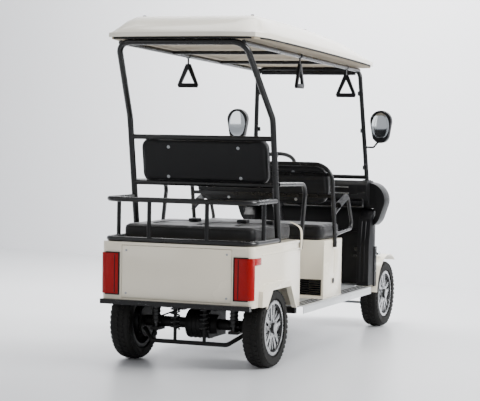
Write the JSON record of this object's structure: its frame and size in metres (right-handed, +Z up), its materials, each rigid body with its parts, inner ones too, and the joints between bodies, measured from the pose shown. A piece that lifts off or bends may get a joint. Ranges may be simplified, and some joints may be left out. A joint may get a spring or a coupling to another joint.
{
  "type": "electric golf cart",
  "caption": "Electric golf cart with two forward-facing bench seats, a moulded roof on a tubular frame, a railed rear deck and alloy wheels.",
  "frame": {"origin": "on the ground under the middle of the overall length and width", "axes": "+Y forward, +X to the cart's right, +Z up"},
  "size_m": [1.272, 3.1963, 2.1579],
  "materials": {
    "frame_black": "semi-gloss powder coat",
    "running_gear": "black chassis paint over castings",
    "spring_steel": "plated steel",
    "body_white": "gloss ivory-white enamel",
    "roof_white": "gel-coated moulding",
    "lens_red": "moulded acrylic",
    "liner_black": "moulded",
    "ceiling_tan": "flocked board",
    "chequer_plate": "mill-finish tread plate",
    "vinyl_black": "grained vinyl",
    "moulded_black": "satin moulded",
    "screen_glass": "clear laminated",
    "lamp_clear": "clear lens over a reflector",
    "alloy": "machined and lacquered",
    "tyre_rubber": "matt",
    "battery_case": "moulded",
    "bare_steel": "zinc plated"
  },
  "bodies": {
    "cart": {"chassis_frame": "frame_black", "rear_axle": "running_gear", "shock_absorbers": "spring_steel", "rear_bumper": "frame_black", "rear_tub": "body_white", "tail_panel": "body_white", "tail_lamps": "lens_red", "wheel_liners": "liner_black", "floor_deck": "chequer_plate", "front_seat_box": "body_white", "box_grille": "moulded_black", "battery_pack": "battery_case", "rear_cushion": "vinyl_black", "rear_backrest": "vinyl_black", "rear_fence": "frame_black", "rear_armrests": "frame_black", "roof_frame": "frame_black", "front_cushion": "vinyl_black", "front_seat_hoop": "frame_black", "front_backrest": "vinyl_black", "windscreen": "screen_glass", "roof_shell": "roof_white", "roof_liner": "ceiling_tan", "grab_handles": "moulded_black", "dashboard": "moulded_black", "leg_shield": "moulded_black", "front_cowl": "body_white", "headlamps": "lamp_clear", "front_fenders": "body_white", "mirrors": "moulded_black", "front_axle": "running_gear", "steering_column": "moulded_black", "pedals": "moulded_black"},
    "steering": {"steering_wheel": "moulded_black"},
    "knuckle_left": {"knuckle_left": "bare_steel"},
    "knuckle_right": {"knuckle_right": "bare_steel"},
    "tie_rod": {"tie_rod": "bare_steel"},
    "wheel_rear_left": {"tyre_rear_left": "tyre_rubber", "rim_rear_left": "alloy"},
    "wheel_rear_right": {"tyre_rear_right": "tyre_rubber", "rim_rear_right": "alloy"},
    "wheel_front_left": {"tyre_front_left": "tyre_rubber", "rim_front_left": "alloy"},
    "wheel_front_right": {"tyre_front_right": "tyre_rubber", "rim_front_right": "alloy"}
  },
  "joints": [
    {"name": "steering", "type": "hinge", "parent": "cart", "child": "steering", "pos_m": [-0.13, 0.419, 1.208], "axis": [0, -0.5, 0.866], "range_deg": [-450, 450]},
    {"name": "knuckle_left", "type": "hinge", "parent": "cart", "child": "knuckle_left", "pos_m": [-0.355, 1.278, 0.247], "axis": [0, 0, 1], "range_deg": [-30, 30]},
    {"name": "knuckle_right", "type": "hinge", "parent": "cart", "child": "knuckle_right", "pos_m": [0.355, 1.278, 0.247], "axis": [0, 0, 1], "range_deg": [-30, 30]},
    {"name": "tie_rod", "type": "hinge", "parent": "knuckle_left", "child": "tie_rod", "pos_m": [-0.355, 1.168, 0.19], "axis": [0, 0, 1], "range_deg": [-30, 30]},
    {"name": "wheel_front_left", "type": "hinge", "parent": "knuckle_left", "child": "wheel_front_left", "pos_m": [-0.43, 1.278, 0.247], "axis": [-1, 0, 0], "continuous": true},
    {"name": "wheel_rear_left", "type": "hinge", "parent": "cart", "child": "wheel_rear_left", "pos_m": [-0.442, -1.186, 0.247], "axis": [-1, 0, 0], "continuous": true},
    {"name": "wheel_front_right", "type": "hinge", "parent": "knuckle_right", "child": "wheel_front_right", "pos_m": [0.43, 1.278, 0.247], "axis": [-1, 0, 0], "continuous": true},
    {"name": "wheel_rear_right", "type": "hinge", "parent": "cart", "child": "wheel_rear_right", "pos_m": [0.442, -1.186, 0.247], "axis": [-1, 0, 0], "continuous": true}
  ],
  "couplings": [
    {"joint": "knuckle_left", "follows": "steering", "ratio": 0.066667},
    {"joint": "knuckle_right", "follows": "steering", "ratio": 0.066667},
    {"joint": "tie_rod", "follows": "steering", "ratio": -0.066667}
  ]
}
